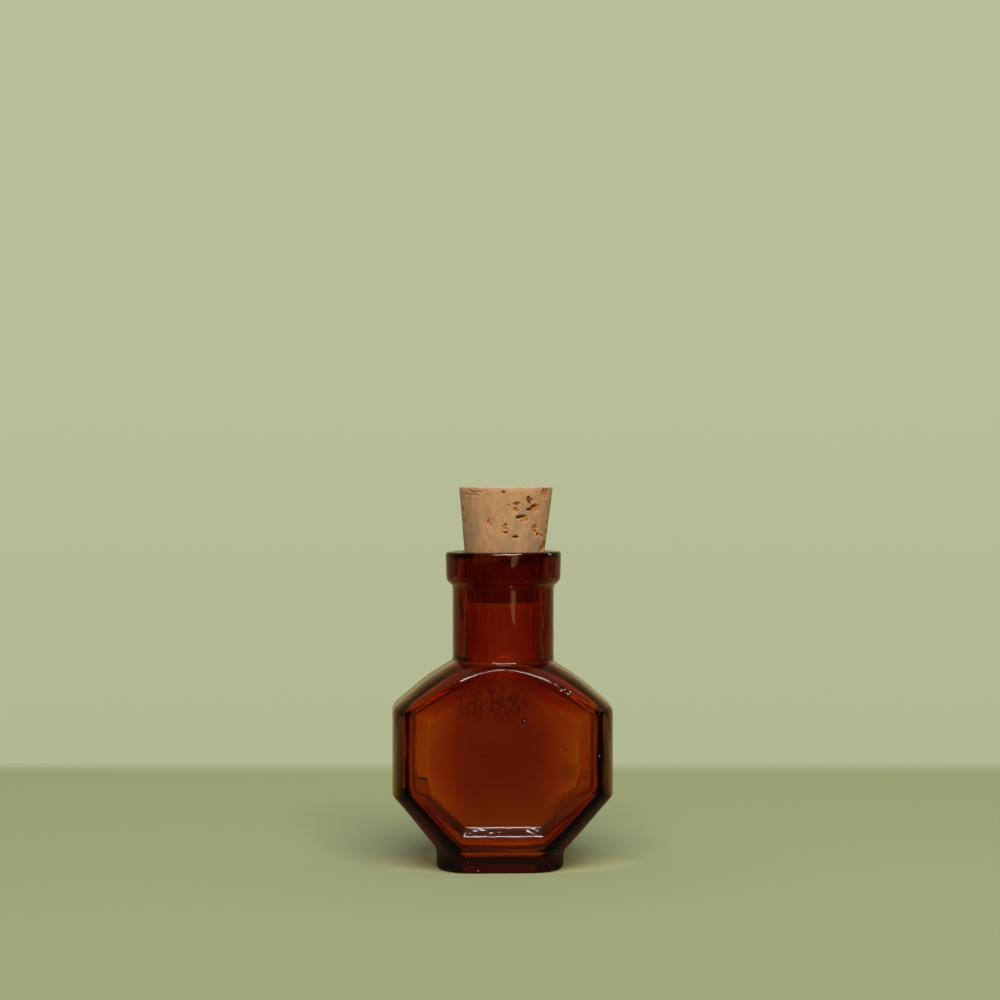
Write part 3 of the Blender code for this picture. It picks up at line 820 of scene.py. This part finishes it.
# A painted highlight along the top edge, where light from above catches it: where it
# starts and is full, down from the top, and its share
TOP_EDGE_HIGHLIGHT = (1.3 * MM, 0.3 * MM)
TOP_HIGHLIGHT_SHARE = 0.5
TOP_HIGHLIGHT_COLOUR = (0.64, 0.4, 0.25)
# Painted shade where the cork sits inside the lip: its faint and its dark end, down from
# the top, and how far it fades above
MOUTH_SHADE = (17.0 * MM, 13.7 * MM)
MOUTH_SHADE_FADE = 0.6 * MM
MOUTH_SHADE_COLOUR = (0.09, 0.02, 0.01)
CORK_ROUGHNESS = (0.75, 0.95)
CORK_SPECULAR = 0.25
RELIEF_STRENGTH = 0.5
RELIEF_HEIGHT = 0.1 * MM
RELIEF_RANGE = (0.35, 0.7, 0.3, 0.7)


class Nodes:
    """A short way to write the nodes of a material or of the world."""

    def __init__(self, tree, coordinates):
        self.tree = tree
        self.place = self.add("TexCoord").outputs[coordinates]

    def add(self, kind, **settings):
        node = self.tree.nodes.new("ShaderNode" + kind)
        for name, value in settings.items():
            setattr(node, name, value)
        return node

    def put(self, value, socket):
        """Gives a socket a number, a colour or what another socket gives out."""
        if isinstance(value, (int, float)):
            socket.default_value = value
        elif isinstance(value, tuple):
            socket.default_value = value + (1,)
        else:
            self.tree.links.new(value, socket)

    def noise(self, scale, detail, stretch=1.0, shift=0.0):
        mapping = self.add("Mapping")
        mapping.inputs["Scale"].default_value = (1, 1, stretch)
        mapping.inputs["Location"].default_value = (shift, shift, shift)
        self.put(self.place, mapping.inputs["Vector"])
        node = self.add("TexNoise")
        node.inputs["Scale"].default_value = scale
        node.inputs["Detail"].default_value = detail
        node.inputs["Roughness"].default_value = NOISE_ROUGHNESS
        self.put(mapping.outputs["Vector"], node.inputs["Vector"])
        return node.outputs["Fac"]

    def mark(self, name):
        """The number that each point of the mesh holds under a name."""
        return self.add("Attribute", attribute_name=name).outputs["Fac"]

    def along(self, axis):
        split = self.add("SeparateXYZ")
        self.put(self.place, split.inputs[0])
        return split.outputs[axis]

    def range_of(self, value, low, high, to_low=0.0, to_high=1.0, kind="SMOOTHSTEP"):
        node = self.add("MapRange", interpolation_type=kind)
        for name, number in zip(RANGE_SOCKETS, (low, high, to_low, to_high)):
            node.inputs[name].default_value = number
        self.put(value, node.inputs["Value"])
        return node.outputs["Result"]

    def ramp(self, value, stops, low=0.0, high=1.0):
        """A colour for a value of 0 to 1, from stops between a low and a high number."""
        node = self.add("ValToRGB")
        colours = node.color_ramp
        while len(colours.elements) < len(stops):
            colours.elements.new(0.5)
        for element, (where, shade) in zip(colours.elements, stops):
            element.position = (where - low) / (high - low)
            element.color = (shade if isinstance(shade, tuple) else (shade,) * 3) + (1,)
        self.put(value, node.inputs["Fac"])
        return node.outputs["Color"]

    def calculate(self, operation, *values):
        node = self.add("Math", operation=operation)
        for value, socket in zip(values, node.inputs):
            self.put(value, socket)
        return node.outputs[0]

    def times(self, first, second):
        return self.calculate("MULTIPLY", first, second)

    def mixed(self, share, first, second, blend="MIX"):
        node = self.add("Mix", data_type="RGBA", blend_type=blend)
        for name, value in (("Factor", share), ("A", first), ("B", second)):
            self.put(value, node.inputs[name])
        return node.outputs["Result"]

    def tinted(self, colour, by):
        return self.mixed(1.0, colour, by, "MULTIPLY")

    def lighter(self, first, second):
        return self.mixed(1.0, first, second, "LIGHTEN")


def new_material(name):
    """A material, its nodes and its shader."""
    material = bpy.data.materials.new(name)
    material.use_nodes = True
    shader = material.node_tree.nodes["Principled BSDF"]
    return material, Nodes(material.node_tree, "Object"), shader


def amber_glass():
    """Amber glass, clear outside and hazy, filmed and stained on the hollow's wall."""
    material, nodes, shader = new_material("amber_glass")
    shader.inputs["IOR"].default_value = GLASS_IOR
    shader.inputs["Transmission Weight"].default_value = 1.0
    haze, stain, film = (nodes.mark(name) for name in GLASS_MARKS)
    streaks = nodes.range_of(nodes.noise(*STREAK_NOISE), *STREAK_RANGE)
    clumps = nodes.range_of(nodes.noise(*CLUMP_NOISE), *CLUMP_RANGE)
    wisps = nodes.times(nodes.range_of(nodes.noise(*WISP_NOISE), *WISP_RANGE), clumps)
    colour = nodes.mixed(nodes.times(film, streaks), WHITE, FILM_COLOUR)
    colour = nodes.mixed(nodes.range_of(haze, *HAZE_RANGE), colour, HAZE_COLOUR)
    colour = nodes.mixed(nodes.times(stain, wisps), colour, STAIN_COLOUR)
    nodes.put(colour, shader.inputs["Base Color"])
    nodes.put(nodes.range_of(haze, 0.0, 1.0, 0.0, HAZE_ROUGHNESS), shader.inputs["Roughness"])
    densest = max(ABSORBED)
    absorb = nodes.add("VolumeAbsorption")
    absorb.inputs["Color"].default_value = tuple(1 - part / densest for part in ABSORBED) + (1,)
    absorb.inputs["Density"].default_value = densest
    output = material.node_tree.nodes["Material Output"]
    nodes.put(absorb.outputs["Volume"], output.inputs["Volume"])
    return material


def natural_cork():
    """Tan cork with an upright grain, grey weathered patches and brown pores; painted highlight on the
    top edge, painted shade inside the lip and deep in the pores.
    """
    material, nodes, shader = new_material("natural_cork")
    grain, blotches = nodes.noise(*GRAIN_NOISE), nodes.noise(*BLOTCH_NOISE)
    speckle, fine = nodes.noise(*SPECKLE_NOISE), nodes.noise(*FINE_NOISE)
    height, pit = nodes.along("Z"), nodes.mark("pit")
    colour = nodes.mixed(nodes.range_of(grain, *GRAIN_RANGE), *CORK_TANS)
    for noise, (reach, shade) in ((blotches, BLOTCHES), (fine, FINE_GRAIN), (speckle, SPECKLES)):
        colour = nodes.mixed(nodes.range_of(noise, *reach), colour, shade)
    # Painted highlight: the cork is lighter along its top edge
    low, high = (CORK_HIGH[2] - down for down in TOP_EDGE_HIGHLIGHT)
    top_highlight = nodes.range_of(height, low, high, 0.0, TOP_HIGHLIGHT_SHARE)
    colour = nodes.mixed(top_highlight, colour, TOP_HIGHLIGHT_COLOUR)
    # Painted shade: the cork darkens where it sits inside the lip
    low, high = (CORK_HIGH[2] - down for down in MOUTH_SHADE)
    fade = nodes.range_of(height, high, high + MOUTH_SHADE_FADE, 1.0, 0.0)
    mouth_shade = nodes.times(nodes.range_of(height, low, high), fade)
    colour = nodes.mixed(mouth_shade, colour, MOUTH_SHADE_COLOUR)
    # The pores darken towards their floors, partly their own lining and partly painted shade
    for reach, shade in (PIT_WALL, PIT_FLOOR_BROWN_AND_SHADE):
        colour = nodes.mixed(nodes.range_of(pit, *reach), colour, shade)
    nodes.put(colour, shader.inputs["Base Color"])
    nodes.put(nodes.range_of(grain, *GRAIN_RANGE, *CORK_ROUGHNESS), shader.inputs["Roughness"])
    shader.inputs["Specular IOR Level"].default_value = CORK_SPECULAR
    relief = nodes.add("Bump")
    relief.inputs["Strength"].default_value = RELIEF_STRENGTH
    relief.inputs["Distance"].default_value = RELIEF_HEIGHT
    share = nodes.range_of(speckle, *RELIEF_RANGE)
    nodes.put(nodes.mixed(share, fine, grain), relief.inputs["Height"])
    nodes.put(relief.outputs["Normal"], shader.inputs["Normal"])
    return material


# Studio

# The object is turned a little to the camera, so the studio is turned the other way
STUDIO_TURN = math.radians(-1.6)
CAMERA_LENS = 50
CAMERA_SENSOR = 24
CAMERA_SHIFT = -0.01
CAMERA_PLACE = (-0.41 * MM, -427 * MM, 76.7 * MM)
# Lamps: name, place, what it is aimed at, size in metres, radiance and colour
LAMPS = (
    ("softbox", (50 * MM, -640 * MM, 790 * MM), (0, 0, 30 * MM), (0.8, 0.36), 12.9, WHITE),
    (
        "side_light", (215 * MM, -560 * MM, 190 * MM), (0, 0, 60 * MM), (0.1, 0.36), 0.9,
        (1.6, 0.9, 0.4),
    ),
)

TABLE_REACH = 1500 * MM
TABLE_DROP = 0.04 * MM
TABLE_BACK = 158 * MM
TABLE_ROUGHNESS = 0.9
TABLE_SPECULAR = 0.2
# The table's colours by distance behind the bottle: toward its back edge they lighten to the wall's
# Painted shade: the table darkens towards the front, evening out the softbox's brighter light there
TABLE_COLOURS = (
    (-120 * MM, (0.265, 0.297, 0.157)),
    (20 * MM, (0.297, 0.331, 0.168)),
    (138 * MM, (0.321, 0.36, 0.168)),
    (148 * MM, (0.385, 0.422, 0.232)),
    (157 * MM, (0.45, 0.48, 0.285)),
)
# Painted shade and tint where the glass mirrors the table, by distance behind the bottle:
# dark in front of and close behind it, tinted warm further back
TABLE_MIRRORED_SHADE = (
    (-60 * MM, (0.04, 0.04, 0.04)),
    (-30 * MM, (0.2, 0.2, 0.2)),
    (15 * MM, (0.22, 0.2, 0.16)),
    (60 * MM, (0.95, 0.53, 0.2)),
    (100 * MM, (1.0, 0.67, 0.32)),
    (139 * MM, (1.0, 0.85, 0.62)),
)
# Painted light: round the foot the table's colour is brightened and warmed, standing in for
# light that comes through the glass: where, where it fades out, and how much. Seen through
# the glass, that part of the table is dimmed instead, a painted shadow.
PAINTED_GLOW_MIDDLE = (0.0, 2 * MM)
PAINTED_GLOW_REACH = (31 * MM, 16.5 * MM)
PAINTED_GLOW_FADE = (0.35, 1.0)
PAINTED_GLOW = (1.9, 1.65, 1.3)
PAINTED_SHADOW_UNDER = (0.6, 0.5, 0.4)

# The wall: its colour, and its brightness where a ray heads a little down and up
WALL_COLOUR = (0.479, 0.514, 0.314)
WALL_LEVELS = (-0.14, 0.06, 0.93, 1.0)
# The even light on matte surfaces
SOFT_LEVEL = 0.37
# The room in the glass by where a ray heads, 0 toward the camera's side and 1 toward the
# wall: the tint of what the glass mirrors, and the brightness of what shows through it
MIRRORED_ROOM = (
    (0.0, (0.02, 0.02, 0.02)),
    (0.5, (0.02, 0.02, 0.02)),
    (0.6, (0.08, 0.07, 0.05)),
    (0.7, (0.22, 0.17, 0.12)),
    (0.82, (0.4, 0.3, 0.2)),
    (0.905, (0.55, 0.42, 0.3)),
    (0.963, (0.75, 0.6, 0.45)),
    (1.0, (0.95, 0.8, 0.64)),
)
REFRACTED_ROOM = (
    (0.0, 0.5), (0.4, 0.4), (0.655, 0.35), (0.75, 0.4), (0.84, 0.55), (0.91, 0.8), (0.95, 1.0),
)
# The mirrored ceiling is at least this bright, from where a ray heads up to more steeply
CEILING = (0.5, 0.85, 0.0, 0.48)


def table_paint():
    """Sage paint, with painted shade where glass mirrors it, and painted light round the foot and
    where it is seen through glass.
    """
    material, nodes, shader = new_material("table_paint")
    shader.inputs["Roughness"].default_value = TABLE_ROUGHNESS
    shader.inputs["Specular IOR Level"].default_value = TABLE_SPECULAR
    low, high = TABLE_COLOURS[0][0], TABLE_COLOURS[-1][0]
    back = nodes.range_of(nodes.along("Y"), low, high, kind="LINEAR")
    colours = nodes.ramp(back, TABLE_COLOURS, low, high)
    mirrored = nodes.ramp(back, TABLE_MIRRORED_SHADE, low, high)
    path = nodes.add("LightPath").outputs
    through = path["Is Transmission Ray"]
    # Painted light: a warm glow on the table round the foot
    wide, deep = PAINTED_GLOW_REACH
    spread = nodes.add("Mapping", vector_type="POINT")
    spread.inputs["Scale"].default_value = (1 / wide, 1 / deep, 0)
    spread.inputs["Location"].default_value = (-PAINTED_GLOW_MIDDLE[0] / wide, -PAINTED_GLOW_MIDDLE[1] / deep, 0)
    nodes.put(nodes.place, spread.inputs["Vector"])
    off = nodes.add("VectorMath", operation="LENGTH")
    nodes.put(spread.outputs["Vector"], off.inputs[0])
    painted_glow = nodes.range_of(off.outputs["Value"], *PAINTED_GLOW_FADE, 1.0, 0.0)
    # Painted shade: where the glass mirrors it, the table is darkened in front of and near the bottle
    lit = nodes.mixed(path["Is Glossy Ray"], WHITE, mirrored)
    lit = nodes.tinted(lit, nodes.mixed(painted_glow, WHITE, PAINTED_GLOW))
    # Seen through the glass the table is not lit: it glows with its own colour instead, a painted
    # light, dimmed round the foot as a painted shadow
    lit = nodes.mixed(through, lit, BLACK)
    nodes.put(nodes.tinted(colours, lit), shader.inputs["Base Color"])
    seen = nodes.tinted(colours, nodes.mixed(painted_glow, WHITE, PAINTED_SHADOW_UNDER))
    nodes.put(seen, shader.inputs["Emission Color"])
    nodes.put(through, shader.inputs["Emission Strength"])
    return material


def table():
    mesh = bpy.data.meshes.new("table_top")
    corners = [(-TABLE_REACH, -TABLE_REACH), (TABLE_REACH, -TABLE_REACH)]
    corners += [(TABLE_REACH, TABLE_BACK), (-TABLE_REACH, TABLE_BACK)]
    mesh.from_pydata([(x, y, -TABLE_DROP) for x, y in corners], [], [(0, 1, 2, 3)])
    obj = bpy.data.objects.new("table_top", mesh)
    obj.rotation_euler = (0, 0, STUDIO_TURN)
    bpy.context.scene.collection.objects.link(obj)
    mesh.materials.append(table_paint())


def surroundings():
    """A pale wall for the camera and the glass, and a soft even light for the rest."""
    world = bpy.data.worlds.new("studio")
    bpy.context.scene.world = world
    world.use_nodes = True
    world.node_tree.nodes.clear()
    nodes = Nodes(world.node_tree, "Generated")
    path = nodes.add("LightPath").outputs
    height = nodes.along("Z")
    facing = nodes.calculate("MULTIPLY_ADD", nodes.along("Y"), 0.5, 0.5)
    ceiling = nodes.range_of(height, *CEILING)
    mirrored = nodes.lighter(nodes.ramp(facing, MIRRORED_ROOM), ceiling)
    mirrored = nodes.tinted(mirrored, path["Is Glossy Ray"])
    refracted = nodes.times(path["Is Transmission Ray"], nodes.ramp(facing, REFRACTED_ROOM))
    seen = nodes.lighter(nodes.lighter(mirrored, refracted), path["Is Camera Ray"])
    lit = nodes.calculate("GREATER_THAN", path["Diffuse Depth"], 0.5)
    unlit = nodes.calculate("SUBTRACT", 1.0, lit)
    wall = nodes.add("Background")
    nodes.put(nodes.tinted(seen, WALL_COLOUR), wall.inputs["Color"])
    nodes.put(nodes.times(unlit, nodes.range_of(height, *WALL_LEVELS)), wall.inputs["Strength"])
    soft = nodes.add("Background")
    nodes.put(WHITE, soft.inputs["Color"])
    nodes.put(nodes.times(lit, SOFT_LEVEL), soft.inputs["Strength"])
    both = nodes.add("AddShader")
    nodes.put(wall.outputs[0], both.inputs[0])
    nodes.put(soft.outputs[0], both.inputs[1])
    out = nodes.add("OutputWorld")
    nodes.put(both.outputs[0], out.inputs["Surface"])


def soft_lamp(name, place, target, size, radiance, colour):
    """A rectangular lamp of an even radiance, aimed at a point."""
    lamp = bpy.data.lights.new(name, "AREA")
    lamp.shape = "RECTANGLE"
    lamp.size, lamp.size_y = size
    lamp.color = colour
    lamp.energy = radiance * math.pi * size[0] * size[1]
    obj = bpy.data.objects.new(name, lamp)
    obj.location = place
    obj.rotation_euler = (Vector(target) - Vector(place)).to_track_quat("-Z", "Y").to_euler()
    obj.visible_camera = False
    bpy.context.scene.collection.objects.link(obj)


def camera():
    data = bpy.data.cameras.new("camera")
    data.lens = CAMERA_LENS
    data.sensor_width = CAMERA_SENSOR
    data.shift_y = CAMERA_SHIFT
    obj = bpy.data.objects.new("camera", data)
    obj.location = Matrix.Rotation(STUDIO_TURN, 3, "Z") @ Vector(CAMERA_PLACE)
    obj.rotation_euler = (math.radians(90), 0, STUDIO_TURN)
    bpy.context.scene.collection.objects.link(obj)
    bpy.context.scene.camera = obj


# The whole


def dress_bottle():
    bottle, points = piece_of(
        "amber_bottle", plain_glass, glass_field, BOTTLE_LOW, BOTTLE_HIGH, GLASS_CELL, GLASS_KEPT,
        bubble_shells(),
    )
    for mark, values in zip(GLASS_MARKS, glass_marks(points)):
        paint(bottle, mark, values)
    bottle.data.materials.append(amber_glass())
    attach(bottle, "bottle")
    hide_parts("glass_bottle")


def dress_cork():
    lean = np.array((cork_middle(CORK_HIGH[2]), 0, 0))
    cork, points = piece_of(
        "bark_cork", cork_field, cork_field, CORK_LOW, CORK_HIGH + lean, CORK_CELL, CORK_KEPT
    )
    paint(cork, "pit", np.clip(-plain_cork(*points.T) / PIT_REACH, 0, 1))
    cork.data.materials.append(natural_cork())
    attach(cork, "stopper")
    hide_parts("cork_stopper")


def main():
    bpy.context.scene.view_settings.view_transform = "Standard"
    dress_bottle()
    dress_cork()
    table()
    surroundings()
    for lamp in LAMPS:
        soft_lamp(*lamp)
    camera()


main()
